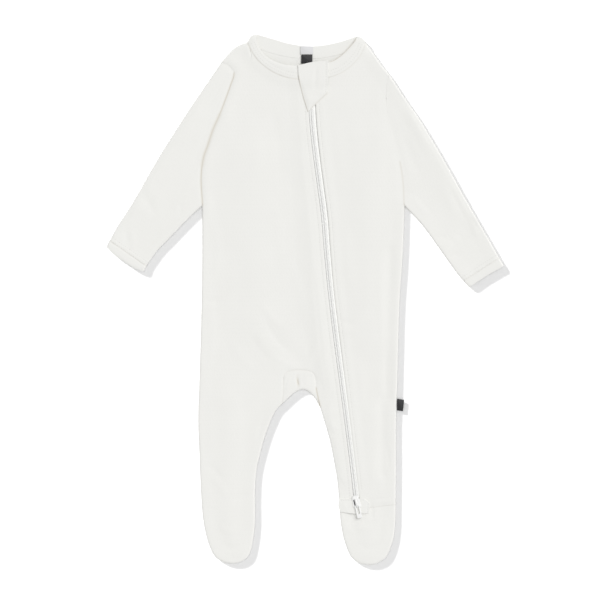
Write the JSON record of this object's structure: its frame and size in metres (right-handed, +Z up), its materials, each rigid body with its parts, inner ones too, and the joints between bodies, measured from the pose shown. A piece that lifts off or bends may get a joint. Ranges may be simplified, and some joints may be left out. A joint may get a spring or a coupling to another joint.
{
  "type": "footed baby sleepsuit",
  "caption": "Footed baby sleepsuit lying flat, with long sleeves, bound neck and cuffs, crotch gusset and a zip from the neck down one leg to the ankle.",
  "frame": {"origin": "underside of the back, on the surface that the suit lies on, at mid-body", "axes": "+X to the wearer's left, +Y from the feet to the neck, +Z up out of the front"},
  "size_m": [0.4176, 0.5573, 0.0077],
  "materials": {
    "jersey": "fine cotton jersey with faint open-work ribs",
    "rib": "fine rib binding, folded double",
    "zip": "woven zip tape with a moulded nylon coil",
    "slider": "white enamel",
    "label_black": "plain black satin tape",
    "label_grey": "plain grey print on tape"
  },
  "bodies": {
    "suit": {"back_panel": "jersey", "front_right": "jersey", "front_left": "jersey", "foot_left": "jersey", "gusset": "jersey", "sleeve_right": "jersey", "sleeve_left": "jersey", "chin_guard": "jersey", "zip_end_patch": "jersey", "cuff_right": "rib", "cuff_left": "rib", "neckband_back": "rib", "neckband_front_right": "rib", "neckband_front_left": "rib", "zip_tape_right": "zip", "zip_tape_left": "zip", "zip_slider": "slider", "neck_label": "label_black", "hip_tab": "label_black", "size_label": "label_grey"},
    "pull": {"pull_tab": "slider"}
  },
  "joints": [
    {"name": "pull_hinge", "type": "hinge", "parent": "suit", "child": "pull", "pos_m": [0.05514, -0.21669, 0.00615], "axis": [-0.9744, -0.225, 0], "range_deg": [0, 170]}
  ]
}
